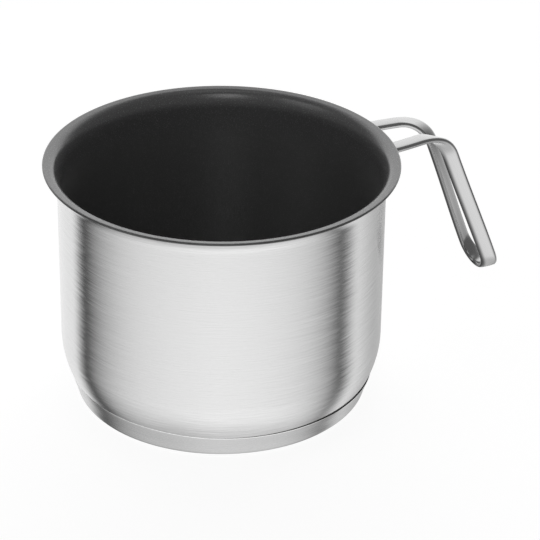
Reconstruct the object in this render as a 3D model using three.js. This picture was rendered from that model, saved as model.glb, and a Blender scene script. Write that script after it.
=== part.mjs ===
// Small cooking pot: a drawn steel body with a flared pouring lip, a dark non-stick lining,
// a heat core closed in by a steel base cap, and one bent steel strip welded on as a loop handle.
// Millimetres, +Z up. The origin is the middle of the base's underside and the handle points along +X.
import * as THREE from 'three';

const { degToRad, lerp, smoothstep } = THREE.MathUtils;

// Drawn body
const INNER_DIAMETER = 140;
const SHEET = 1.0;
const RIM_HEIGHT = 109.2;
const CORNER_RADIUS = 39.5;
const KNUCKLE_RADIUS = 5;
const KNUCKLE_ANGLE = degToRad(30);
const FLARE_RADIUS = 10;
const FLARE_SWEEP = degToRad(33);
const LIP_BEND = 3;
const LIP_SLOPE = degToRad(8.7);
const LIP_FLAT = 1.85;

// Lining and the bonded layers of the base
const LINING = 0.1;
const LAYER_GAP = 0.05;
const CORE_THICKNESS = 4.5;
const CAP_SHEET = 0.8;
const CAP_LEDGE = 0.5;
const CAP_TAPER = 3.6;
const CAP_EDGE = 1.8;
const SEAM_ANGLE = degToRad(24.6);

// Handle strip
const STRIP_WIDTH = 7.4;
const STRIP_THICKNESS = 2.9;
const STRIP_EDGE = 1.2;
const GRIP_TILT = degToRad(43);
const END_TILT = degToRad(12);

// Handle route
const ROOT_SPACING = 23.5;
const SHOULDER_SPACING = 15.8;
const LOOP_WIDTH = 20.6;
const LEG_DROP = 7;
const TAB_LENGTH = 16;
const TAB_BEND = 4;
const LEG_REACH = 23.1;
const SHOULDER_RADIUS = 19.7;
const GRIP_ANGLE = degToRad(21.7);
const LOOP_END_HEIGHT = 25.2;

// Spot welds under the handle's tabs
const WELD_GAP = 0.3;
const WELD_DIAMETER = 5;
const WELD_INSET = 4.2;

// Fineness of the round forms
const TURN_STEPS = 64;
const ARC_STEPS = 6;
const SMALL_ARC_STEPS = 3;
const EDGE_STEPS = 4;
const GRIP_STEPS = 6;
const LOOP_STEPS = 9;
const WELD_STEPS = 20;

// Places that follow from the sizes above
const wallRadius = INNER_DIAMETER / 2 + SHEET;
const floorHeight = CAP_SHEET + LAYER_GAP + CORE_THICKNESS + LAYER_GAP;
const knuckleShift = CORNER_RADIUS - KNUCKLE_RADIUS;
const cornerCentre = new THREE.Vector2(
  wallRadius - CORNER_RADIUS,
  floorHeight + KNUCKLE_RADIUS + knuckleShift * Math.sin(KNUCKLE_ANGLE),
);
const knuckleCentre = onCircle(cornerCentre, knuckleShift, -KNUCKLE_ANGLE);
const bendStart = Math.PI - FLARE_SWEEP;
const lipEnd = Math.PI / 2 + LIP_SLOPE;
const bendShift = FLARE_RADIUS - LIP_BEND;
const bendHeight = RIM_HEIGHT - SHEET / 2
  - LIP_FLAT * Math.sin(LIP_SLOPE) - (LIP_BEND + SHEET / 2) * Math.cos(LIP_SLOPE);
const flareCentre = new THREE.Vector2(wallRadius + FLARE_RADIUS, bendHeight - bendShift * Math.sin(FLARE_SWEEP));
const bendCentre = onCircle(flareCentre, bendShift, bendStart);
const edgeCentre = onCircle(onCircle(bendCentre, LIP_BEND + SHEET / 2, lipEnd), LIP_FLAT, LIP_SLOPE);

function onCircle(centre, radius, angle) {
  return new THREE.Vector2(centre.x + radius * Math.cos(angle), centre.y + radius * Math.sin(angle));
}

function arc(centre, radius, from, to, steps) {
  return Array.from({ length: steps + 1 }, (_, i) => onCircle(centre, radius, lerp(from, to, i / steps)));
}

// The body's profile from the middle of the floor out and up to the lip, at a depth below its outer skin.
function bodyLine(depth) {
  return [
    new THREE.Vector2(0, floorHeight + depth),
    ...arc(knuckleCentre, KNUCKLE_RADIUS - depth, -Math.PI / 2, -KNUCKLE_ANGLE, SMALL_ARC_STEPS),
    ...arc(cornerCentre, CORNER_RADIUS - depth, -KNUCKLE_ANGLE, 0, ARC_STEPS).slice(1),
    ...arc(flareCentre, FLARE_RADIUS + depth, Math.PI, bendStart, SMALL_ARC_STEPS),
    ...arc(bendCentre, LIP_BEND + depth, bendStart, lipEnd, SMALL_ARC_STEPS).slice(1),
    onCircle(edgeCentre, depth - SHEET / 2, lipEnd),
  ];
}

function turned(profile) {
  return new THREE.LatheGeometry(profile, TURN_STEPS).rotateX(Math.PI / 2);
}

function steel(color, roughness) {
  return new THREE.MeshStandardMaterial({ color, roughness, metalness: 1 });
}

function named(name, geometry, material) {
  const mesh = new THREE.Mesh(geometry, material);
  mesh.name = name;
  return mesh;
}

// The rounded edge at the end of the lip, from its top round to its underside, at a distance over the steel.
function lipEdge(over) {
  return arc(edgeCentre, SHEET / 2 + over, lipEnd, lipEnd - Math.PI, EDGE_STEPS);
}

// Drawn body: its inner and outer lines meet in the rounded edge of the lip.
function potBody() {
  const edge = lipEdge(0).slice(1, -1);
  const profile = [...bodyLine(0), ...edge.reverse(), ...bodyLine(SHEET).reverse()];
  return named('pot_body', turned(profile), steel(0xcfcfcf, 0.32));
}

// Lining: a thin coat over the whole inside and the lip, ending halfway round the lip's edge.
function nonstickLining() {
  const coatLine = (over) => [...bodyLine(SHEET + over), ...lipEdge(over).slice(1, EDGE_STEPS / 2 + 1)];
  const under = coatLine(LAYER_GAP);
  const top = coatLine(LAYER_GAP + LINING);
  const coat = new THREE.MeshStandardMaterial({ color: 0x1d1d1e, roughness: 0.42, metalness: 0 });
  return named('nonstick_lining', turned([...under, ...top.reverse()]), coat);
}

// The cap's inner and outer lines lean from the base's edge up to the seam on the body's corner.
const seamInner = onCircle(cornerCentre, CORNER_RADIUS + LAYER_GAP, -SEAM_ANGLE);
const seamOuter = onCircle(cornerCentre, CORNER_RADIUS + CAP_LEDGE, -SEAM_ANGLE);
const capRadius = seamOuter.x - CAP_TAPER;
const capCorner = new THREE.Vector2(capRadius, 0);
const capInnerCorner = new THREE.Vector2(capRadius - CAP_SHEET, CAP_SHEET);

// Base cap: a shallow pressed dish with a rounded lower edge.
function baseCap() {
  const sideStart = seamOuter.clone().sub(capCorner).setLength(CAP_EDGE).add(capCorner);
  const outline = new THREE.Path();
  outline.moveTo(0, 0);
  outline.lineTo(capRadius - CAP_EDGE, 0);
  outline.quadraticCurveTo(capCorner.x, capCorner.y, sideStart.x, sideStart.y);
  outline.lineTo(seamOuter.x, seamOuter.y);
  outline.lineTo(seamInner.x, seamInner.y);
  outline.lineTo(capInnerCorner.x, capInnerCorner.y);
  outline.lineTo(0, CAP_SHEET);
  return named('base_cap', turned(outline.getPoints(EDGE_STEPS)), steel(0xc4c4c4, 0.36));
}

// Heat core: an aluminium disc that fills the cap under the body's flat floor and knuckle.
function heatCore() {
  const bottom = CAP_SHEET + LAYER_GAP;
  const underBody = bodyLine(-LAYER_GAP).slice(0, SMALL_ARC_STEPS + 1);
  const profile = [
    new THREE.Vector2(0, bottom),
    new THREE.Vector2(capInnerCorner.x - CAP_SHEET / 2, bottom),
    ...underBody.reverse(),
  ];
  return named('heat_core', turned(profile), steel(0xb8babd, 0.5));
}

// Handle places: the tabs stand off the wall by the weld gap, at the root spacing.
const tabRadius = wallRadius + WELD_GAP + STRIP_THICKNESS / 2;
const tabAngle = Math.asin(ROOT_SPACING / 2 / tabRadius);
const tabX = tabRadius * Math.cos(tabAngle);
const legHeight = RIM_HEIGHT - LEG_DROP;
const tabTop = legHeight - TAB_BEND;
const tabFoot = tabTop - TAB_LENGTH;
const gripHeading = GRIP_ANGLE - Math.PI / 2;
const loopRadius = LOOP_WIDTH / 2;

// A station on the handle: where its middle runs in the side view, its heading there and how it lies.
function station(x, z, heading, y, turn, tilt, round = 0) {
  return { x, z, heading, y, turn, tilt, round };
}

// The strip from the foot of one tab to the middle of the loop's closed end.
function halfHandle() {
  const stations = [station(tabX, tabFoot, Math.PI / 2, ROOT_SPACING / 2, tabAngle, Math.PI / 2)];
  for (let i = 0; i <= ARC_STEPS; i += 1) {
    const part = i / ARC_STEPS;
    const middle = new THREE.Vector2(tabX + TAB_BEND, tabTop);
    const heading = lerp(Math.PI / 2, 0, part);
    const at = onCircle(middle, TAB_BEND, heading + Math.PI / 2);
    stations.push(station(at.x, at.y, heading, ROOT_SPACING / 2, tabAngle * (1 - part), Math.PI / 2));
  }

  const legStart = tabX + TAB_BEND;
  const shoulderStart = wallRadius + LEG_REACH;
  const legLength = shoulderStart - legStart;
  const shoulderLength = SHOULDER_RADIUS * -gripHeading;
  const shoulderMiddle = new THREE.Vector2(shoulderStart, legHeight - SHOULDER_RADIUS);
  const spread = (run) => lerp(
    ROOT_SPACING / 2,
    SHOULDER_SPACING / 2,
    smoothstep(run, 0, legLength + shoulderLength),
  );
  for (let i = 1; i < SMALL_ARC_STEPS; i += 1) {
    const run = (legLength * i) / SMALL_ARC_STEPS;
    stations.push(station(legStart + run, legHeight, 0, spread(run), 0, Math.PI / 2));
  }
  const shoulderSteps = 2 * ARC_STEPS;
  for (let i = 0; i <= shoulderSteps; i += 1) {
    const part = i / shoulderSteps;
    const heading = gripHeading * part;
    const at = onCircle(shoulderMiddle, SHOULDER_RADIUS, heading + Math.PI / 2);
    const tilt = lerp(Math.PI / 2, GRIP_TILT, smoothstep(part, 0, 1));
    stations.push(station(at.x, at.y, heading, spread(legLength + shoulderLength * part), 0, tilt));
  }

  const shoulderEnd = onCircle(shoulderMiddle, SHOULDER_RADIUS, gripHeading + Math.PI / 2);
  const loopMiddleHeight = LOOP_END_HEIGHT + loopRadius * Math.cos(GRIP_ANGLE);
  const gripLength = (shoulderEnd.y - loopMiddleHeight) / Math.cos(GRIP_ANGLE);
  for (let i = 1; i < GRIP_STEPS; i += 1) {
    const part = i / GRIP_STEPS;
    const at = onCircle(shoulderEnd, gripLength * part, gripHeading);
    const y = lerp(SHOULDER_SPACING / 2, loopRadius, smoothstep(part, 0, 1));
    stations.push(station(at.x, at.y, gripHeading, y, 0, GRIP_TILT));
  }
  const loopMiddle = onCircle(shoulderEnd, gripLength, gripHeading);
  for (let i = 0; i <= LOOP_STEPS; i += 1) {
    const round = (Math.PI / 2) * (i / LOOP_STEPS);
    const at = onCircle(loopMiddle, loopRadius * Math.sin(round), gripHeading);
    const tilt = lerp(GRIP_TILT, END_TILT, smoothstep(i / LOOP_STEPS, 0, 1));
    stations.push(station(at.x, at.y, gripHeading, loopRadius * Math.cos(round), 0, tilt, round));
  }
  return stations;
}

// Section of the strip: a flat bar with rounded edges, drawn anticlockwise.
function stripSection() {
  const across = STRIP_WIDTH / 2 - STRIP_EDGE;
  const through = STRIP_THICKNESS / 2 - STRIP_EDGE;
  const corners = [[1, 1], [-1, 1], [-1, -1], [1, -1]];
  return corners.flatMap(([a, b], i) => {
    const centre = new THREE.Vector2(a * across, b * through);
    const from = (i * Math.PI) / 2;
    return arc(centre, STRIP_EDGE, from, from + Math.PI / 2, SMALL_ARC_STEPS - 1);
  });
}

// The direction of the strip's width: flat along the legs, tilted in the grip and round its closed end.
function widthDirection({ heading, turn, tilt, round }) {
  const away = new THREE.Vector3(-Math.sin(heading), 0, Math.cos(heading));
  const along = new THREE.Vector3(Math.cos(heading), 0, Math.sin(heading));
  const outward = new THREE.Vector3(-Math.sin(turn), Math.cos(turn), 0).multiplyScalar(Math.cos(round));
  outward.addScaledVector(along, Math.sin(round));
  return away.multiplyScalar(Math.cos(tilt)).addScaledVector(outward, Math.sin(tilt));
}

// Handle: the section is set at every station of one half, mirrored for the other half and skinned.
function loopHandle() {
  const stations = halfHandle();
  const middles = stations.map(({ x, y, z }) => new THREE.Vector3(x, y, z));
  const last = middles.length - 1;
  const mirror = (point) => new THREE.Vector3(point.x, -point.y, point.z);
  const section = stripSection();
  const half = stations.map((place, i) => {
    const before = i > 0 ? middles[i - 1] : middles[0];
    const after = i < last ? middles[i + 1] : mirror(middles[last - 1]);
    const along = after.clone().sub(before).normalize();
    const width = widthDirection(place).projectOnPlane(along).normalize();
    const thickness = along.clone().cross(width);
    return section.map(({ x, y }) => middles[i].clone().addScaledVector(width, x).addScaledVector(thickness, y));
  });
  const rings = [...half, ...half.slice(0, -1).reverse().map((ring) => ring.map(mirror))];

  const sides = section.length;
  const index = [];
  for (let ring = 0; ring < rings.length - 1; ring += 1) {
    for (let side = 0; side < sides; side += 1) {
      const next = (side + 1) % sides;
      const [a, b] = [ring * sides + side, ring * sides + next];
      const [c, d] = [a + sides, b + sides];
      index.push(a, b, c, b, d, c);
    }
  }
  const end = (rings.length - 1) * sides;
  for (let side = 1; side < sides - 1; side += 1) {
    index.push(0, side + 1, side, end, end + side, end + side + 1);
  }
  const geometry = new THREE.BufferGeometry().setFromPoints(rings.flat());
  geometry.setIndex(index);
  geometry.computeVertexNormals();
  return named('loop_handle', geometry, steel(0xd2d2d2, 0.34));
}

// Spot welds: a thin round nugget near the top and the foot of each tab, between tab and wall.
function spotWelds() {
  const sides = [['left', 1], ['right', -1]];
  const heights = [['upper', tabTop - WELD_INSET], ['lower', tabFoot + WELD_INSET]];
  const thickness = WELD_GAP - 2 * LAYER_GAP;
  return sides.flatMap(([side, sign]) => heights.map(([level, height]) => {
    const radius = WELD_DIAMETER / 2;
    const nugget = new THREE.CylinderGeometry(radius, radius, thickness, WELD_STEPS).rotateZ(Math.PI / 2);
    const mesh = named(`weld_${side}_${level}`, nugget, steel(0x9a9a9a, 0.45));
    const reach = wallRadius + WELD_GAP / 2;
    mesh.position.set(reach * Math.cos(tabAngle), sign * reach * Math.sin(tabAngle), height);
    mesh.rotation.z = sign * tabAngle;
    return mesh;
  }));
}

const pot = new THREE.Group();
pot.add(potBody(), nonstickLining(), heatCore(), baseCap(), loopHandle(), ...spotWelds());

export default pot;
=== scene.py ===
# %% [markdown]
# # A small steel cooking pot
# The pot is a drawn steel cup with a flared lip, a dark non-stick coat inside, a cap under its base and
# one bent strip as a handle. The solids of the real construction come in as a fixed frame. This lesson
# builds a finer skin over them, gives every piece its finish and sets it before a camera in a white studio.

from math import asin, atan, atan2, cos, pi, radians, sin

import bmesh
import bpy
from mathutils import Matrix, Vector


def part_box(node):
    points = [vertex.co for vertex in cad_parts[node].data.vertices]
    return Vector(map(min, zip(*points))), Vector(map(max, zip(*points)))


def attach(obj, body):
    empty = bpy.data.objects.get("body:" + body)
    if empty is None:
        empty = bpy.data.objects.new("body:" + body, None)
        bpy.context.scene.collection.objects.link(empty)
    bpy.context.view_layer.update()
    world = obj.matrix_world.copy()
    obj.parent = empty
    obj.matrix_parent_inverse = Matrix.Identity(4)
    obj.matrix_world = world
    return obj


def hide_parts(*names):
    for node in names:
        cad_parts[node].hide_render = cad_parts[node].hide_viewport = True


UPWARDS = Vector((0, 0, 1))

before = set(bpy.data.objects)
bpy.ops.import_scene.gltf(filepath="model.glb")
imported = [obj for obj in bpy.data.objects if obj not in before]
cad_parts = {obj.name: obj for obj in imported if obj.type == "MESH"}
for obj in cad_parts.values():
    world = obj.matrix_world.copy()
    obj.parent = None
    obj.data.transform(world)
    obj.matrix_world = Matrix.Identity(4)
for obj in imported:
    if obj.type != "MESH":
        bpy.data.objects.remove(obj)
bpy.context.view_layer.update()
print("nodes in the frame:", sorted(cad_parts))

# %% [markdown]
# ## The camera
# A long lens far away keeps a pot's sides nearly parallel, as catalogue photographs do. The camera could
# be placed by hand, but two angles, a distance and a field of view say more. It looks down by about 29
# degrees and is turned a little to the right of the pot's axis, so that pot and handle together fill the
# square picture. Its up stays in the upright plane through the axis, so that the pot still stands
# straight, but for a hair of roll.

# %% Camera
PICTURE_WIDTH = 540
FOCAL_PIXELS = 2472.7
AXIS_PIXEL = 221.5
SENSOR_WIDTH_MM = 36
CAMERA_AZIMUTH = radians(-28.0)
CAMERA_ELEVATION = radians(28.75)
CAMERA_ROLL = radians(0.19)
CAMERA_DISTANCE = 1.0886
AIM_HEIGHT = 0.0554

to_camera = Vector((
    sin(CAMERA_AZIMUTH) * cos(CAMERA_ELEVATION),
    -cos(CAMERA_AZIMUTH) * cos(CAMERA_ELEVATION),
    sin(CAMERA_ELEVATION),
))
picture_right = Vector((cos(CAMERA_AZIMUTH), sin(CAMERA_AZIMUTH), 0))
picture_front = Vector((to_camera.x, to_camera.y, 0)).normalized()
side_step = CAMERA_DISTANCE * (PICTURE_WIDTH / 2 - AXIS_PIXEL) / FOCAL_PIXELS

lens = bpy.data.cameras.new("camera")
lens.sensor_width = SENSOR_WIDTH_MM
lens.lens = SENSOR_WIDTH_MM * FOCAL_PIXELS / PICTURE_WIDTH
camera = bpy.data.objects.new("camera", lens)
bpy.context.scene.collection.objects.link(camera)
axis_point = UPWARDS * AIM_HEIGHT
camera.location = axis_point + to_camera * CAMERA_DISTANCE
aim = axis_point + picture_right * side_step
forward = (aim - camera.location).normalized()
camera_up = picture_right.cross(forward).normalized()
camera_axes = Matrix((forward.cross(camera_up), camera_up, -forward)).transposed()
camera.rotation_euler = (camera_axes @ Matrix.Rotation(CAMERA_ROLL, 3, "Z")).to_euler()
bpy.context.scene.camera = camera
bpy.context.scene.view_settings.view_transform = "Standard"
print("camera at", [round(x, 4) for x in camera.location], "lens", round(lens.lens, 1), "mm")

# %% [markdown]
# ## Writing shaders as sums
# A node tree drawn by hand is hard to read back in a script. Here one small class wraps a socket, and its
# operators add Math nodes, so a pattern reads as an expression. Every other node comes from one method,
# which sets the node's settings first and then its sockets.

# %% Sockets that can be added and multiplied
class Wire:
    """An output socket on a board. Arithmetic on it adds Math nodes to the board."""

    def __init__(self, board, socket):
        self.board = board
        self.socket = socket

    def maths(self, operation, *values):
        inputs = dict(enumerate(values))
        return self.board.node("ShaderNodeMath", {"operation": operation}, inputs)

    def __add__(self, other):
        return self.maths("ADD", self, other)

    def __radd__(self, other):
        return self.maths("ADD", other, self)

    def __sub__(self, other):
        return self.maths("SUBTRACT", self, other)

    def __rsub__(self, other):
        return self.maths("SUBTRACT", other, self)

    def __mul__(self, other):
        return self.maths("MULTIPLY", self, other)

    def __rmul__(self, other):
        return self.maths("MULTIPLY", other, self)

    def __pow__(self, power):
        return self.maths("POWER", self, power)

    def __abs__(self):
        return self.maths("ABSOLUTE", self)

    def angle_from(self, other):
        return self.maths("ARCTAN2", self, other)


print("wires know", sum(callable(value) for value in vars(Wire).values()), "methods")

# %% [markdown]
# ## A board for each finish
# A board holds the nodes of one material or of the world. It keeps the few kinds of node that the
# finishes share: smooth steps, noise, greys and mixes of two colours. Noise lies around its middle value,
# so a pattern that should go both ways takes that middle off first.

# %% Boards
NOISE_MIDDLE = 0.5


class Board:
    """The nodes of one material or of the world."""

    def __init__(self, tree):
        self.tree = tree
        tree.nodes.clear()

    def node(self, kind, settings=None, sockets=None, output=0):
        made = self.tree.nodes.new(kind)
        for name, value in (settings or {}).items():
            setattr(made, name, value)
        for name, value in (sockets or {}).items():
            if isinstance(value, Wire):
                self.tree.links.new(value.socket, made.inputs[name])
            else:
                made.inputs[name].default_value = value
        return Wire(self, made.outputs[output]) if len(made.outputs) else made

    def split(self, vector):
        made = self.node("ShaderNodeSeparateXYZ", {}, {"Vector": vector})
        return [Wire(self, socket) for socket in made.socket.node.outputs]

    def joined(self, x, y, z):
        return self.node("ShaderNodeCombineXYZ", {}, {"X": x, "Y": y, "Z": z})

    def vector(self, operation, sockets, output=0):
        return self.node("ShaderNodeVectorMath", {"operation": operation}, sockets, output)

    def ramp(self, value, low, high):
        return self.node("ShaderNodeMapRange", {}, {"Value": value, 1: low, 2: high})

    def eased(self, value, low, high, start=0.0, end=1.0):
        sockets = {"Value": value, 1: low, 2: high, 3: start, 4: end}
        return self.node("ShaderNodeMapRange", {"interpolation_type": "SMOOTHSTEP"}, sockets)

    def noise(self, vector, scale, detail, roughness):
        sockets = {"Vector": vector, "Scale": scale, "Detail": detail, "Roughness": roughness}
        return self.node("ShaderNodeTexNoise", {}, sockets)

    def bumped(self, height, strength, distance):
        sockets = {"Strength": strength, "Distance": distance, "Height": height}
        return self.node("ShaderNodeBump", {}, sockets)

    def grey(self, value):
        return self.node("ShaderNodeCombineColor", {}, {"Red": value, "Green": value, "Blue": value})

    def mixed(self, part, first, second):
        return self.node("ShaderNodeMix", {"data_type": "RGBA"}, {0: part, 6: first, 7: second}, 2)

    def place(self):
        return self.node("ShaderNodeTexCoord", {}, {}, "Object")

    def principled(self, sockets):
        return self.node("ShaderNodeBsdfPrincipled", {}, sockets)

    def surface(self, shader):
        self.node("ShaderNodeOutputMaterial", {}, {"Surface": shader})


def new_finish(name):
    material = bpy.data.materials.new(name)
    material.use_nodes = True
    return material, Board(material.node_tree)


def solid(colour):
    return (*colour, 1)


print("boards ready, noise lies around", NOISE_MIDDLE)

# %% [markdown]
# ## The studio
# Brushed metal shows its surroundings, so the studio is half of the finish. The camera looks down on the
# pot, so its upright wall mirrors what lies below the horizon, and the lip and the inside what lies above
# it. Cards and lamps could be meshes, but a world whose light depends only on the direction gives the
# same reflections without noise. Three shares say where a direction points: up, to the picture's right
# and to its front.

# %% Directions in the studio
world = bpy.data.worlds.new("studio")
bpy.context.scene.world = world
world.use_nodes = True
studio = Board(world.node_tree)
direction = studio.node("ShaderNodeTexCoord")


def share_along(axis):
    return studio.vector("DOT_PRODUCT", {0: direction, 1: axis}, "Value")


height = share_along(UPWARDS)
rightwards = share_along(picture_right)
frontwards = share_along(picture_front)
level = (1 - height * height) ** 0.5
print("the studio's front is towards", [round(x, 3) for x in picture_front])

# %% [markdown]
# ## The bright table and its dark cards
# Below the horizon lies a bright table with a dark card on each side. Each card is mirrored as a dark
# upright band near a side of the pot, and the bands make it read as round. A card starts softly towards
# the camera, is darkest at its middle and ends harder at the back, where a screen dims the table. Near
# the foot the pot's wall curls under and mirrors deeper directions: there the bands lean, spread and
# change their depth, and the table lies in the pot's own shade. Heights here are sines of the elevation.

# %% Table and cards
TABLE_LIGHT = 1.25
SIDE_CARDS = [
    {
        "side": -1, "start": radians(25), "middle": radians(111), "back": radians(19), "shape": 2.45,
        "depth": 0.93, "thin": -0.04, "lean": 0.50, "spread": radians(14), "screen": 0.12, "deep_fall": 0.15,
    },
    {
        "side": 1, "start": radians(0), "middle": radians(92), "back": radians(22), "shape": 3.6,
        "depth": 0.87, "thin": 0.18, "lean": 0.42, "spread": radians(0), "screen": 0.51, "deep_fall": -0.04,
    },
]
SIDE_FALL = 0.07
SIDE_FALL_FULL = radians(55)
SCREEN_START = radians(90)
SCREEN_FULL = radians(145)
DEEP_START = -0.50
DEEP_FULL = -0.90
DEEP_SHADE = 0.05
FOOT_START = -0.79
FOOT_FULL = -0.98
FOOT_SHADE = 0.34

deep = studio.eased(height, DEEP_START, DEEP_FULL)
foot = studio.eased(height, FOOT_START, FOOT_FULL)


def round_from_front(lean):
    wall_level = cos(CAMERA_ELEVATION) * (1 - lean) + lean * level
    return 2 * rightwards.angle_from(frontwards + wall_level)


def light_past(card):
    turned = round_from_front(card["lean"]) * card["side"]
    far_edge = card["middle"] + card["back"] + card["spread"] * deep
    near_side = studio.ramp(turned, card["start"], card["middle"]) ** card["shape"]
    far_side = studio.eased(turned, card["middle"], far_edge, 1.0, 0.0)
    dark = card["depth"] * (1 - card["thin"] * deep) * near_side * far_side
    screen = card["screen"] * studio.eased(turned, SCREEN_START, SCREEN_FULL) * (1 - foot)
    fall = (SIDE_FALL + card["deep_fall"] * deep) * studio.eased(turned, 0.0, SIDE_FALL_FULL)
    return (1 - dark) * (1 - screen) * (1 - fall)


table = TABLE_LIGHT * (1 - DEEP_SHADE * deep) * (1 - FOOT_SHADE * foot)
for card in SIDE_CARDS:
    table = table * light_past(card)
print("the table has", len(SIDE_CARDS), "side cards")

# %% [markdown]
# ## The dark room and its lamps
# Above the table the room is dark, which keeps the coat dark. A wide light behind the pot greys the lip
# where it is seen at a low angle. A soft box at the left makes a glow on the far lip, a small lamp over
# the camera draws a faint band down the inside, and a weak light hangs straight above. To the camera
# itself the world is plain white, as a backdrop of paper would be.

# %% Room, lamps and world
ROOM_DARK = 0.15
ROOM_START = -0.38
ROOM_FULL = -0.20
BACK_LIGHT = 1.2
BACK_LIGHT_START = radians(115)
BACK_LIGHT_FULL = radians(150)
BACK_TOP_START = 0.90
BACK_TOP_FULL = 0.55
CEILING_LIGHT = 0.25
CEILING_START = 0.95
CEILING_FULL = 0.995
SOFTBOX_LIGHT = 0.60
SOFTBOX = {"azimuth": radians(-64), "elevation": radians(38), "edge": radians(21), "core": radians(9)}
FRONT_LIGHT = 1.10
FRONT_LAMP = {"azimuth": radians(-4), "elevation": radians(37), "edge": radians(14), "core": radians(6)}


def lamp(azimuth, elevation, edge, core):
    sideways = picture_front * cos(azimuth) + picture_right * sin(azimuth)
    axis = sideways * cos(elevation) + UPWARDS * sin(elevation)
    return studio.eased(share_along(axis), cos(edge), cos(core))


behind = studio.eased(abs(rightwards.angle_from(frontwards)), BACK_LIGHT_START, BACK_LIGHT_FULL)
behind = behind * studio.eased(height, BACK_TOP_START, BACK_TOP_FULL)
room = ROOM_DARK + (BACK_LIGHT - ROOM_DARK) * behind
room = room + (SOFTBOX_LIGHT - room) * lamp(**SOFTBOX)
room = room + FRONT_LIGHT * lamp(**FRONT_LAMP)
room = room + CEILING_LIGHT * studio.eased(height, CEILING_START, CEILING_FULL)
light = table + (room - table) * studio.eased(height, ROOM_START, ROOM_FULL)

seen = studio.node("ShaderNodeLightPath")
backdrop = studio.node("ShaderNodeBackground", {}, {"Color": solid((1, 1, 1)), "Strength": 1.0})
around = studio.node("ShaderNodeBackground", {}, {"Color": studio.grey(light), "Strength": 1.0})
shown = studio.node("ShaderNodeMixShader", {}, {0: seen, 1: around, 2: backdrop})
studio.node("ShaderNodeOutputWorld", {}, {"Surface": shown})
print("studio world:", len(world.node_tree.nodes), "nodes")

# %% [markdown]
# ## The floor
# The pot stands on a white table. A plane that only takes light would render grey, so a share of its
# white comes from an emission that only the camera sees, and the rest is lit, which keeps the soft
# contact shadow. Mirror rays pass it by, because the world already holds the bright table that the pot
# mirrors.

# %% Floor
FLOOR_HALF = 3.0
FLOOR_DROP = 0.0004
FLOOR_LIT = 0.35
FLOOR_WHITE = 0.88

floor_mesh = bpy.data.meshes.new("floor")
corners = [(-1, -1), (1, -1), (1, 1), (-1, 1)]
floor_points = [(x * FLOOR_HALF, y * FLOOR_HALF, -FLOOR_DROP) for x, y in corners]
floor_mesh.from_pydata(floor_points, [], [(0, 1, 2, 3)])
floor = bpy.data.objects.new("floor", floor_mesh)
bpy.context.scene.collection.objects.link(floor)
paper, board = new_finish("white_table")
paths = board.node("ShaderNodeLightPath")
lit = board.node("ShaderNodeBsdfDiffuse", {}, {"Color": solid((FLOOR_LIT,) * 3)})
glow = board.node("ShaderNodeEmission", {}, {"Color": board.grey(paths * FLOOR_WHITE), "Strength": 1.0})
board.surface(board.node("ShaderNodeAddShader", {}, {0: lit, 1: glow}))
floor_mesh.materials.append(paper)
floor.visible_glossy = False
print("floor is", 2 * FLOOR_HALF, "m wide")

# %% [markdown]
# ## Outlines
# Body, lining and cap are all round about the pot's axis: a press forms them, and a lathe trims them. One
# outline, drawn in radius and height, makes each of them. Curves could be drawn by hand, but arcs and
# lines that know their centres stay tangent when a size changes.

# %% Arcs and lines
SAME_PLACE = 1e-7


def on_circle(centre, radius, angle):
    return Vector((centre.x + radius * cos(angle), centre.y + radius * sin(angle)))


def arc(centre, radius, start, end, steps):
    return [on_circle(centre, radius, start + (end - start) * i / steps) for i in range(steps + 1)]


def line(start, end, steps):
    return [start.lerp(end, i / steps) for i in range(steps + 1)]


def rounded(before, corner, after, size, steps):
    start = corner + (before - corner).normalized() * size
    end = corner + (after - corner).normalized() * size
    parts = [i / steps for i in range(steps + 1)]
    return [start * (1 - t) ** 2 + corner * 2 * t * (1 - t) + end * t ** 2 for t in parts]


def without_doubles(outline):
    kept = [outline[0]]
    for point in outline[1:]:
        if (point - kept[-1]).length > SAME_PLACE:
            kept.append(point)
    return kept


print("points closer than", SAME_PLACE, "m count as one")

# %% [markdown]
# ## Turning an outline
# Blender's Screw modifier could turn an outline about the axis, but rings built directly give clean
# quads, one pole at the middle and no doubled seam. Each finished piece then takes the place of one solid
# of the frame, with its body and its material slot.

# %% Turning and handing over
TURN_STEPS = 256
ON_AXIS = 1e-6


def finished_mesh(name, shape):
    bmesh.ops.recalc_face_normals(shape, faces=shape.faces)
    mesh = bpy.data.meshes.new(name)
    shape.to_mesh(mesh)
    shape.free()
    mesh.shade_smooth()
    piece = bpy.data.objects.new(name, mesh)
    bpy.context.scene.collection.objects.link(piece)
    print(name, "has", len(mesh.polygons), "faces")
    return piece


def turn(name, outline):
    shape = bmesh.new()
    angles = [2 * pi * i / TURN_STEPS for i in range(TURN_STEPS)]
    rings = []
    for radius, rise in without_doubles(outline):
        if radius < ON_AXIS:
            rings.append([shape.verts.new((0, 0, rise))])
        else:
            rings.append([shape.verts.new((radius * cos(a), radius * sin(a), rise)) for a in angles])
    closed = len(rings[0]) > 1
    following = rings[1:] + rings[:1] if closed else rings[1:]
    for lower, upper in zip(rings, following):
        for i in range(TURN_STEPS):
            j = (i + 1) % TURN_STEPS
            below = [lower[i % len(lower)], lower[j % len(lower)]]
            above = [upper[j % len(upper)], upper[i % len(upper)]]
            shape.faces.new(list(dict.fromkeys(below + above)))
    return finished_mesh(name, shape)


def stands_for(piece, node):
    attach(piece, "root")
    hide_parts(node)


print("turned pieces have", TURN_STEPS, "steps round")

# %% [markdown]
# ## The drawn body
# The body starts as a flat disc of steel one millimetre thick that is drawn into a cup. Its bottom corner
# is one large arc with a small one under it, and its mouth flares out into a nearly flat lip that pours
# cleanly. The same outline is needed for the steel's outside, its inside and the coat on it, so it is
# written once, at a depth below the outer skin.

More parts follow.
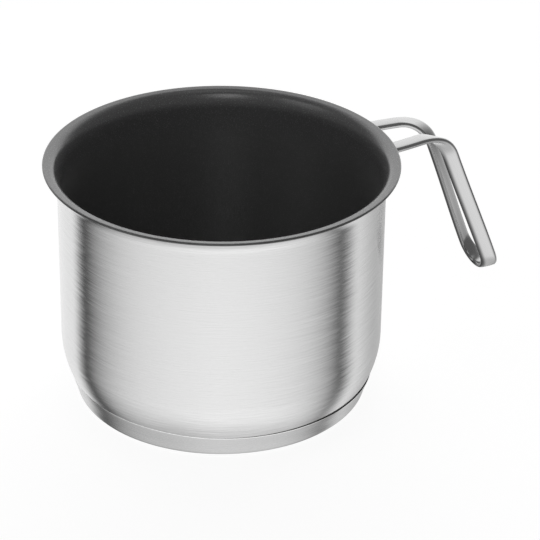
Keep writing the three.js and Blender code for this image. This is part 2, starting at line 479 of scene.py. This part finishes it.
# %% Body sizes
INNER_RADIUS = 0.070
SHEET = 0.0010
CORNER_RADIUS = 0.0395
KNUCKLE_RADIUS = 0.005
KNUCKLE_ANGLE = radians(30)
FLARE_RADIUS = 0.010
FLARE_SWEEP = radians(33)
LIP_BEND = 0.003
LIP_SLOPE = radians(8.7)
LIP_FLAT = 0.00185

body_low, body_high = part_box("pot_body")
wall_radius = INNER_RADIUS + SHEET
floor_height = body_low.z
rim_height = body_high.z
knuckle_shift = CORNER_RADIUS - KNUCKLE_RADIUS
corner_centre = Vector((
    wall_radius - CORNER_RADIUS,
    floor_height + KNUCKLE_RADIUS + knuckle_shift * sin(KNUCKLE_ANGLE),
))
knuckle_centre = on_circle(corner_centre, knuckle_shift, -KNUCKLE_ANGLE)
bend_start = pi - FLARE_SWEEP
lip_end = pi / 2 + LIP_SLOPE
bend_shift = FLARE_RADIUS - LIP_BEND
lip_rise = LIP_FLAT * sin(LIP_SLOPE) + (LIP_BEND + SHEET / 2) * cos(LIP_SLOPE)
bend_height = rim_height - SHEET / 2 - lip_rise
flare_centre = Vector((wall_radius + FLARE_RADIUS, bend_height - bend_shift * sin(FLARE_SWEEP)))
bend_centre = on_circle(flare_centre, bend_shift, bend_start)
edge_centre = on_circle(on_circle(bend_centre, LIP_BEND + SHEET / 2, lip_end), LIP_FLAT, LIP_SLOPE)
print("wall radius", wall_radius, "rim height", round(rim_height, 5))

# %% Body
ARC_STEPS = 28
WALL_STEPS = 30
LIP_STEPS = 6
EDGE_STEPS = 12


def body_line(depth):
    wall = wall_radius - depth
    middle = Vector((0, floor_height + depth))
    floor_edge = Vector((knuckle_centre.x, floor_height + depth))
    lip_inside = on_circle(bend_centre, LIP_BEND + depth, lip_end)
    lip_outside = on_circle(edge_centre, depth - SHEET / 2, lip_end)
    return without_doubles(
        line(middle, floor_edge, WALL_STEPS)
        + arc(knuckle_centre, KNUCKLE_RADIUS - depth, -pi / 2, -KNUCKLE_ANGLE, ARC_STEPS)
        + arc(corner_centre, CORNER_RADIUS - depth, -KNUCKLE_ANGLE, 0, ARC_STEPS)
        + line(Vector((wall, corner_centre.y)), Vector((wall, flare_centre.y)), WALL_STEPS)
        + arc(flare_centre, FLARE_RADIUS + depth, pi, bend_start, ARC_STEPS)
        + arc(bend_centre, LIP_BEND + depth, bend_start, lip_end, ARC_STEPS)
        + line(lip_inside, lip_outside, LIP_STEPS)
    )


def lip_edge(over):
    return arc(edge_centre, SHEET / 2 + over, lip_end, lip_end - pi, EDGE_STEPS)


body = turn("steel_body", body_line(0) + lip_edge(0)[::-1] + body_line(SHEET)[::-1])
stands_for(body, "pot_body")

# %% [markdown]
# ## The non-stick coat
# The coat is sprayed on the inside and over the lip, and it ends two thirds of the way round the lip's
# edge, where the steel shows again as a bright line. A material split on the body could stand for it, but
# a real layer with its own thickness gives the true edge.

# %% Lining
COAT = 0.00009
LAYER_GAP = 0.00005
COATED_STEPS = 8


def coat_line(over):
    covered = lip_edge(over)[1:COATED_STEPS + 1]
    return body_line(SHEET + over) + covered


lining = turn("dark_lining", coat_line(LAYER_GAP) + coat_line(LAYER_GAP + COAT)[::-1])
stands_for(lining, "nonstick_lining")

# %% [markdown]
# ## The base cap
# A second steel sheet, pressed like a shallow dish, closes in the aluminium disc under the floor. Its
# upper edge lies on the body's round corner. The edge is crowned, so that somewhere on it there is always
# a line that catches the light. A level ledge would only mirror the body above it. The finish also paints
# a highlight on the crown.

# %% Cap
CAP_SHEET = 0.0008
CAP_TAPER = 0.0036
CAP_EDGE = 0.0018
CAP_CROWN = 0.0014
SEAM_ANGLE = radians(26.0)
SEAM_TURN = radians(6)
SEAM_GAP = 0.00002

cap_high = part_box("base_cap")[1]
middle = Vector((0, 0))
cap_corner = Vector((cap_high.x - CAP_TAPER, 0))
inner_corner = cap_corner + Vector((-CAP_SHEET, CAP_SHEET))
seam_top = on_circle(corner_centre, CORNER_RADIUS + SEAM_GAP, -SEAM_ANGLE)
crown_centre = on_circle(seam_top, -CAP_CROWN, SEAM_TURN)
to_crown = crown_centre - cap_corner
wall_heading = atan2(to_crown.y, to_crown.x) - asin(CAP_CROWN / to_crown.length)
crown = arc(crown_centre, CAP_CROWN, wall_heading - pi / 2, SEAM_TURN, EDGE_STEPS)
lower_edge = rounded(middle, cap_corner, crown[0], CAP_EDGE, EDGE_STEPS)
cap = turn("base_dish", (
    line(middle, lower_edge[0], WALL_STEPS)
    + lower_edge
    + line(lower_edge[-1], crown[0], EDGE_STEPS)
    + crown
    + line(seam_top, inner_corner, EDGE_STEPS)
    + line(inner_corner, Vector((0, CAP_SHEET)), EDGE_STEPS)
))
stands_for(cap, "base_cap")

# %% [markdown]
# ## The seam
# A pressed cap never fits all round. Here the seam stands open by a hair at the right of the picture,
# which shows as a dark line, and rides a little higher on the left, where only the bright edge shows.
# Moving the upper points of the turned mesh is enough for that. A mark on the same points says where the
# crowned edge lies, so that the finish can paint a highlight there.

# %% Seam
FREE_EDGE = 0.004
SEAM_OPEN = 0.00050
SEAM_OPEN_AT = radians(75)
SEAM_CLIMB = 0.0008
CLIMB_FULL_AT = radians(30)
CROWN_LIT = 0.0004


def smooth(part):
    part = min(max(part, 0), 1)
    return part * part * (3 - 2 * part)


def seam_move(outward):
    turned = atan2(outward.dot(picture_right), outward.dot(picture_front))
    opened = SEAM_OPEN * max(0, cos(turned - SEAM_OPEN_AT)) ** 2
    climbed = SEAM_CLIMB * smooth(-sin(turned) / sin(CLIMB_FULL_AT))
    off_body = outward * cos(SEAM_ANGLE) - UPWARDS * sin(SEAM_ANGLE)
    along_body = outward * sin(SEAM_ANGLE) + UPWARDS * cos(SEAM_ANGLE)
    return off_body * opened + along_body * climbed


# Painted highlight: this mark makes the cap's base colour brighter on its crowned edge.
painted_crown_highlight = cap.data.attributes.new("painted_crown_highlight", "FLOAT", "POINT")
for vert in cap.data.vertices:
    painted_crown_highlight.data[vert.index].value = smooth((vert.co.z - crown[0].y) / CROWN_LIT)
    free = smooth((vert.co.z - FREE_EDGE) / (seam_top.y - FREE_EDGE))
    if free > 0:
        vert.co += seam_move(Vector((vert.co.x, vert.co.y, 0)).normalized()) * free
print("seam at", round(seam_top.y, 5), "m, opening by", SEAM_OPEN, "m on one side")

# %% [markdown]
# ## The loop handle
# One flat strip is bent into a loop: two tabs welded to the wall, two short legs that leave it level, a
# shoulder that turns them down, and a grip that closes in a U. A curve with a bevel profile would twist
# where the route turns in two planes. So the strip is skinned over stations that each say where its
# middle is, where it heads and how far it is tilted.

# %% Handle sizes
STRIP_WIDTH = 0.0079
STRIP_THICKNESS = 0.0029
STRIP_EDGE = 0.0012
STRIP_CROWN = 0.0002
GRIP_TILT = radians(36)
END_TILT = radians(12)
ROOT_SPACING = 0.0235
SHOULDER_SPACING = 0.0158
LOOP_WIDTH = 0.0206
LEG_DROP = 0.0070
TAB_LENGTH = 0.016
TAB_BEND = 0.004
LEG_REACH = 0.0230
SHOULDER_RADIUS = 0.0197
GRIP_ANGLE = radians(21.7)
LOOP_END_HEIGHT = 0.0252
WELD_GAP = 0.0003

tab_radius = wall_radius + WELD_GAP + STRIP_THICKNESS / 2
tab_angle = asin(ROOT_SPACING / 2 / tab_radius)
tab_x = tab_radius * cos(tab_angle)
leg_height = rim_height - LEG_DROP
tab_top = leg_height - TAB_BEND
tab_foot = tab_top - TAB_LENGTH
grip_heading = GRIP_ANGLE - pi / 2
loop_radius = LOOP_WIDTH / 2
print("tab from", round(tab_foot, 4), "to", round(tab_top, 4), "m")

# %% [markdown]
# ## Stations along the strip
# Only half of the handle is worked out, because the other half is its mirror image. Each stretch has its
# own function: the tab and its bend, the leg and the shoulder, the grip and half of the loop. The strip
# lies flat on the legs, tilts through the shoulder and turns again round the loop, and smooth steps carry
# it from one to the next.

# %% Handle stations
TAB_STEPS = 10
BEND_STEPS = 14
LEG_STEPS = 10
SHOULDER_STEPS = 36
GRIP_STEPS = 30
LOOP_STEPS = 28


def mix(start, end, part):
    return start + (end - start) * part


def station(place, heading, y, tilt, turn_out=0.0, round_end=0.0):
    middle = Vector((place.x, y, place.y))
    return {"middle": middle, "heading": heading, "tilt": tilt, "turn": turn_out, "round": round_end}


def tab_and_bend():
    half = ROOT_SPACING / 2
    found = []
    for i in range(TAB_STEPS):
        place = Vector((tab_x, mix(tab_foot, tab_top, i / TAB_STEPS)))
        found.append(station(place, pi / 2, half, pi / 2, tab_angle))
    middle = Vector((tab_x + TAB_BEND, tab_top))
    for i in range(BEND_STEPS + 1):
        heading = mix(pi / 2, 0, i / BEND_STEPS)
        place = on_circle(middle, TAB_BEND, heading + pi / 2)
        found.append(station(place, heading, half, pi / 2, tab_angle * (1 - i / BEND_STEPS)))
    return found


def leg_and_shoulder():
    start = tab_x + TAB_BEND
    shoulder_start = wall_radius + LEG_REACH
    leg = shoulder_start - start
    bend = SHOULDER_RADIUS * -grip_heading
    middle = Vector((shoulder_start, leg_height - SHOULDER_RADIUS))

    def half_spacing(run):
        return mix(ROOT_SPACING, SHOULDER_SPACING, smooth(run / (leg + bend))) / 2

    found = []
    for i in range(1, LEG_STEPS):
        run = leg * i / LEG_STEPS
        found.append(station(Vector((start + run, leg_height)), 0, half_spacing(run), pi / 2))
    for i in range(SHOULDER_STEPS + 1):
        part = i / SHOULDER_STEPS
        heading = grip_heading * part
        place = on_circle(middle, SHOULDER_RADIUS, heading + pi / 2)
        tilt = mix(pi / 2, GRIP_TILT, smooth(part))
        found.append(station(place, heading, half_spacing(leg + bend * part), tilt))
    return found, on_circle(middle, SHOULDER_RADIUS, grip_heading + pi / 2)


def grip_and_loop(shoulder_end):
    loop_height = LOOP_END_HEIGHT + loop_radius * cos(GRIP_ANGLE)
    grip = (shoulder_end.y - loop_height) / cos(GRIP_ANGLE)
    found = []
    for i in range(1, GRIP_STEPS):
        part = i / GRIP_STEPS
        y = mix(SHOULDER_SPACING / 2, loop_radius, smooth(part))
        place = on_circle(shoulder_end, grip * part, grip_heading)
        found.append(station(place, grip_heading, y, GRIP_TILT))
    middle = on_circle(shoulder_end, grip, grip_heading)
    for i in range(LOOP_STEPS + 1):
        turn_round = pi / 2 * i / LOOP_STEPS
        place = on_circle(middle, loop_radius * sin(turn_round), grip_heading)
        tilt = mix(GRIP_TILT, END_TILT, smooth(i / LOOP_STEPS))
        y = loop_radius * cos(turn_round)
        found.append(station(place, grip_heading, y, tilt, 0.0, turn_round))
    return found


shoulder_stations, shoulder_end = leg_and_shoulder()
half_handle = tab_and_bend() + shoulder_stations + grip_and_loop(shoulder_end)
print("half of the handle has", len(half_handle), "stations")

# %% [markdown]
# ## The strip's section
# Rolled strip isn't a sharp box. Its broad faces are crowned by a fraction of a millimetre and its edges
# are round, and both show as soft gradients in the reflections. A Bevel modifier could round the edges,
# but not the faces, so the section is drawn from three arcs and then turned half round for the other
# side. Every station places that section across its own heading.

# %% Section and rings
CORNER_STEPS = 8
CROWN_STEPS = 10


def strip_section():
    across = STRIP_WIDTH / 2 - STRIP_EDGE
    crown_angle = 2 * atan(STRIP_CROWN / across)
    crown_radius = across / sin(crown_angle)
    face_centre = Vector((0, STRIP_THICKNESS / 2 - crown_radius))
    right_edge = on_circle(face_centre, crown_radius - STRIP_EDGE, pi / 2 - crown_angle)
    left_edge = Vector((-right_edge.x, right_edge.y))
    top = (
        arc(right_edge, STRIP_EDGE, 0, pi / 2 - crown_angle, CORNER_STEPS)
        + arc(face_centre, crown_radius, pi / 2 - crown_angle, pi / 2 + crown_angle, CROWN_STEPS)
        + arc(left_edge, STRIP_EDGE, pi / 2 + crown_angle, pi, CORNER_STEPS)
    )
    return without_doubles(top + [-point for point in top])


def width_direction(place):
    heading, tilt = place["heading"], place["tilt"]
    away = Vector((-sin(heading), 0, cos(heading)))
    along = Vector((cos(heading), 0, sin(heading)))
    outward = Vector((-sin(place["turn"]), cos(place["turn"]), 0)) * cos(place["round"])
    outward += along * sin(place["round"])
    return away * cos(tilt) + outward * sin(tilt)


def mirrored(point):
    return Vector((point.x, -point.y, point.z))


def strip_ring(stations, i, section):
    middles = [place["middle"] for place in stations]
    before = middles[max(i - 1, 0)]
    after = middles[i + 1] if i + 1 < len(middles) else mirrored(middles[i - 1])
    along = (after - before).normalized()
    width = width_direction(stations[i])
    width = (width - along * width.dot(along)).normalized()
    thickness = along.cross(width)
    return [middles[i] + width * p.x + thickness * p.y for p in section]


section = strip_section()
half_rings = [strip_ring(half_handle, i, section) for i in range(len(half_handle))]
rings = half_rings + [[mirrored(p) for p in ring] for ring in half_rings[-2::-1]]
print("the strip has", len(rings), "rings of", len(section), "points")

# %% [markdown]
# ## Skinning the strip
# Neighbouring rings are joined by quads, and the two ends are closed. While the faces are made, each
# corner also gets a place on a map: how far along the strip it lies and how far round the section, both
# in metres. The finish needs that map, because the grain of the steel follows the bends.

# %% Handle strip
strip = bmesh.new()
ring_verts = [[strip.verts.new(point) for point in ring] for ring in rings]
strip_map = strip.loops.layers.uv.new("strip")
walked = [0.0]
for ring, following in zip(rings, rings[1:]):
    walked.append(walked[-1] + (following[0] - ring[0]).length)
girth = [0.0]
for point, following in zip(section, section[1:] + section[:1]):
    girth.append(girth[-1] + (following - point).length)
for r in range(len(rings) - 1):
    here, there = ring_verts[r], ring_verts[r + 1]
    for s in range(len(section)):
        t = (s + 1) % len(section)
        face = strip.faces.new([here[s], here[t], there[t], there[s]])
        marks = [
            (walked[r], girth[s]), (walked[r], girth[s + 1]),
            (walked[r + 1], girth[s + 1]), (walked[r + 1], girth[s]),
        ]
        for corner, mark in zip(face.loops, marks):
            corner[strip_map].uv = mark
for ring in (ring_verts[0], ring_verts[-1]):
    strip.faces.new(ring)
grip_start = walked[len(half_handle) - GRIP_STEPS - LOOP_STEPS - 1]
print("strip is", round(walked[-1], 4), "m long, its grip starts at", round(grip_start, 4), "m")
handle = finished_mesh("strip_handle", strip)
stands_for(handle, "loop_handle")

# %% [markdown]
# ## Brushed steel
# The body is brushed while it spins, which leaves fine scratches that run round it. They blur reflections
# up and down but hardly sideways, and that draws the studio's cards as clean upright bands. Anisotropic
# reflection on the shader gives the blur, with its grain round the pot's axis. A noise that is stretched
# along the scratches varies tone, roughness and height, and a second one leans the surface a hair to this
# side or that, which breaks the edges of the bands into fine streaks. The cap is turned, with a smoother
# grain, and its crowned seam edge gets a painted highlight: a brighter base colour there.

# %% Brushed steel on turned pieces
BODY_STEEL = {"brightness": 0.72, "roughness": 0.19, "anisotropic": 0.95, "grain_depth": 0.60}
CAP_STEEL = {"brightness": 0.63, "roughness": 0.27, "anisotropic": 0.85, "grain_depth": 0.14}
GRAIN_ROUND = 60.0
GRAIN_UP = 3000.0
GRAIN_DETAIL = 3.0
GRAIN_FINE = 0.6
GRAIN_ROUGH = 0.3
GRAIN_BUMP = 0.05
BUMP_HEIGHT = 0.0001
STREAK_ROUND = 50.0
STREAK_UP = 3200.0
STREAK_SWAY = 0.15
PAINTED_EDGE_HIGHLIGHT = 0.55
QUARTER_TURN = 0.25


def turned_grain(board, place, around, across):
    x, y, z = board.split(place)
    radius = (x * x + y * y) ** 0.5
    stretched = board.joined(x * around, y * around, (z + radius) * across)
    return board.noise(stretched, 1.0, GRAIN_DETAIL, GRAIN_FINE)


def swayed(board, place, normal, amount):
    x, y, _ = board.split(place)
    round_axis = board.vector("NORMALIZE", {0: board.joined(0 - y, x, 0.0)})
    sway = board.vector("SCALE", {0: round_axis, "Scale": amount})
    return board.vector("NORMALIZE", {0: board.vector("ADD", {0: normal, 1: sway})})


def turned_steel(name, brightness, roughness, anisotropic, grain_depth):
    material, board = new_finish(name)
    place = board.place()
    grain = turned_grain(board, place, GRAIN_ROUND, GRAIN_UP)
    streak = turned_grain(board, place, STREAK_ROUND, STREAK_UP)
    edge = board.node("ShaderNodeAttribute", {"attribute_name": "painted_crown_highlight"}, {}, "Fac")
    # Painted highlight: the seam mark lifts the base colour on the cap's crowned edge.
    tone = brightness * (1 + grain_depth * (grain - NOISE_MIDDLE)) * (1 + PAINTED_EDGE_HIGHLIGHT * edge)
    bump = board.bumped(grain, GRAIN_BUMP, BUMP_HEIGHT)
    board.surface(board.principled({
        "Base Color": board.grey(tone),
        "Metallic": 1.0,
        "Roughness": roughness + GRAIN_ROUGH * (grain - NOISE_MIDDLE),
        "Anisotropic": anisotropic,
        "Anisotropic Rotation": QUARTER_TURN,
        "Normal": swayed(board, place, bump, STREAK_SWAY * (streak - NOISE_MIDDLE)),
    }))
    return material


body.data.materials.append(turned_steel("brushed_body_steel", **BODY_STEEL))
cap.data.materials.append(turned_steel("turned_cap_steel", **CAP_STEEL))
print("turned steel on", body.name, "and", cap.name)

# %% [markdown]
# ## The handle's steel
# The strip is ground along its length before it is bent, so its scratches follow the bends, and the grain
# is stretched along the strip's own map. Along the grip the round edges get painted shade, a darker base
# colour, the inner edge of the grip most of all. That shade could be a second material, but a tone that
# falls off with the way round the section keeps the change soft.

# %% Handle steel
STRIP_STEEL = 0.56
STRIP_ALONG = 40.0
STRIP_ACROSS = 3000.0
STRIP_GRAIN = 0.16
STRIP_ROUGH = 0.22
STRIP_ROUGH_GRAIN = 0.10
INNER_EDGE_SHADE = 0.82
INNER_ON_FACE = (0.0036, 0.0016)
INNER_ON_BACK = (-0.0016, -0.0002)
OUTER_EDGE_SHADE = 0.40
OUTER_REACH = (0.0022, 0.0003)
EDGE_SHADE_BEFORE_GRIP = 0.012
EDGE_SHADE_FULL = 0.004


# Painted shade: along the grip the base colour darkens towards the round edges, the inner edge most.
def painted_edge_shade(board, along, across):
    half_girth = girth[-1] / 2
    half_length = walked[-1] / 2
    off_inner = across - half_girth
    inner = board.eased(off_inner, *INNER_ON_FACE) * board.eased(off_inner, *INNER_ON_BACK)
    outer = board.eased(half_girth - abs(off_inner), *OUTER_REACH)
    from_tab = half_length - abs(along - half_length)
    on_grip = board.eased(from_tab, grip_start - EDGE_SHADE_BEFORE_GRIP, grip_start + EDGE_SHADE_FULL)
    return (INNER_EDGE_SHADE * inner + OUTER_EDGE_SHADE * outer) * on_grip


def strip_steel():
    material, board = new_finish("ground_strip_steel")
    along, across, _ = board.split(board.node("ShaderNodeUVMap", {"uv_map": "strip"}))
    stretched = board.joined(along * STRIP_ALONG, across * STRIP_ACROSS, 0.0)
    grain = board.noise(stretched, 1.0, GRAIN_DETAIL, GRAIN_FINE)
    tone = STRIP_STEEL * (1 + STRIP_GRAIN * (grain - NOISE_MIDDLE))
    board.surface(board.principled({
        "Base Color": board.grey(tone * (1 - painted_edge_shade(board, along, across))),
        "Metallic": 1.0,
        "Roughness": STRIP_ROUGH + STRIP_ROUGH_GRAIN * (grain - NOISE_MIDDLE),
        "Normal": board.bumped(grain, GRAIN_BUMP, BUMP_HEIGHT),
    }))
    return material


handle.data.materials.append(strip_steel())
print("ground steel on", handle.name)

# %% [markdown]
# ## The dark coat
# A non-stick coat is a nearly black paint with fine mineral grains in it. It is matt to the eye but, like
# any paint, it shines at grazing angles, which is why the lip looks grey at the sides of the pot and dark
# at the back. A plain dielectric shader does that by itself, and the grains are a small pebbled bump with
# paler specks. The wall under the coat is turned, and its scratches print through. So the wall has a
# shader of its own that blurs up and down and draws a faint upright band of light, and its colour is
# darkened by painted shade. Under the edge, where the coat faces down, painted shade turns its colour
# nearly black.

# %% Coat
COAT_DARK = (0.155, 0.155, 0.156)
COAT_SPECK = (0.26, 0.26, 0.261)
UNDER_EDGE_SHADE = (0.015, 0.015, 0.015)
UNDER_SHADE_START = -0.1
UNDER_SHADE_FULL = -0.5
PEBBLE_SCALE = 1500.0
PEBBLE_DETAIL = 2.0
PEBBLE_BUMP = 0.5
PEBBLE_ROUGH = 0.12
SPECK_SCALE = 2200.0
SPECK_DETAIL = 1.0
SPECK_START = 0.56
SPECK_FULL = 0.70
MINERAL_FINE = 0.5
COAT_IOR = 2.0
LIP_ROUGH = 0.18
WALL_ROUGH = 0.28
WALL_ANISOTROPIC = 0.95
WALL_SHADE = 0.82
WALL_END = -0.016
LIP_BEGIN = -0.002


def shaded(colour, shade):
    return solid([channel * shade for channel in colour])


def dark_coat():
    material, board = new_finish("pebbled_coat")
    place = board.place()
    pebbles = board.noise(place, PEBBLE_SCALE, PEBBLE_DETAIL, MINERAL_FINE)
    grains = board.noise(place, SPECK_SCALE, SPECK_DETAIL, MINERAL_FINE)
    specks = board.eased(grains, SPECK_START, SPECK_FULL)
    facing_up = board.split(board.node("ShaderNodeNewGeometry", {}, {}, "Normal"))[2]
    # Painted shade: the coat's colour goes nearly black where it faces down, under the lip's edge.
    under_shade = board.eased(facing_up, UNDER_SHADE_START, UNDER_SHADE_FULL)
    bump = board.bumped(pebbles, PEBBLE_BUMP, BUMP_HEIGHT)

    def coat_shader(tone, roughness, anisotropic):
        return board.principled({
            "Base Color": tone,
            "Roughness": roughness + PEBBLE_ROUGH * pebbles,
            "IOR": COAT_IOR,
            "Anisotropic": anisotropic,
            "Anisotropic Rotation": QUARTER_TURN,
            "Normal": bump,
        })

    lip_tone = board.mixed(under_shade, board.mixed(specks, solid(COAT_DARK), solid(COAT_SPECK)), solid(UNDER_EDGE_SHADE))
    # Painted shade: the wall's tones are the lip's coat colours darkened by WALL_SHADE.
    wall_tone = board.mixed(specks, shaded(COAT_DARK, WALL_SHADE), shaded(COAT_SPECK, WALL_SHADE))
    lip = coat_shader(lip_tone, LIP_ROUGH, 0.0)
    wall = coat_shader(wall_tone, WALL_ROUGH, WALL_ANISOTROPIC)
    rise = board.split(place)[2]
    on_lip = board.eased(rise, flare_centre.y + WALL_END, flare_centre.y + LIP_BEGIN)
    board.surface(board.node("ShaderNodeMixShader", {}, {0: on_lip, 1: wall, 2: lip}))
    return material


lining.data.materials.append(dark_coat())
print("coat on", lining.name)

# %% [markdown]
# ## Pieces that stay as the frame has them
# The heat core is closed in by the cap, and the spot welds are thin discs behind the tabs. Their solids
# have the right shape, so they keep it and only get a finish: rolled aluminium, and steel with a heat
# tint. A cloudy noise between two tones is enough for both.

# %% Core and weld finishes
CORE_FINISH = {"dark": (0.62, 0.63, 0.64), "light": (0.76, 0.77, 0.78), "roughness": 0.5, "scale": 300.0}
WELD_FINISH = {"dark": (0.30, 0.28, 0.27), "light": (0.62, 0.60, 0.57), "roughness": 0.45, "scale": 900.0}
CLOUD_ROUGH = 0.2


def speckled_metal(name, dark, light, roughness, scale):
    material, board = new_finish(name)
    cloud = board.noise(board.place(), scale, GRAIN_DETAIL, GRAIN_FINE)
    board.surface(board.principled({
        "Base Color": board.mixed(cloud, solid(dark), solid(light)),
        "Metallic": 1.0,
        "Roughness": roughness + CLOUD_ROUGH * (cloud - NOISE_MIDDLE),
    }))
    return material


def refinish(node, material):
    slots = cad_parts[node].data.materials
    slots.clear()
    slots.append(material)


refinish("heat_core", speckled_metal("rolled_aluminium", **CORE_FINISH))
weld_finish = speckled_metal("tinted_weld", **WELD_FINISH)
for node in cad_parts:
    if node.startswith("weld_"):
        refinish(node, weld_finish)
print("finishes:", [material.name for material in bpy.data.materials])

# %% [markdown]
# ## The finer skin and the solids
# The finer skin must not outgrow the solids it stands for.
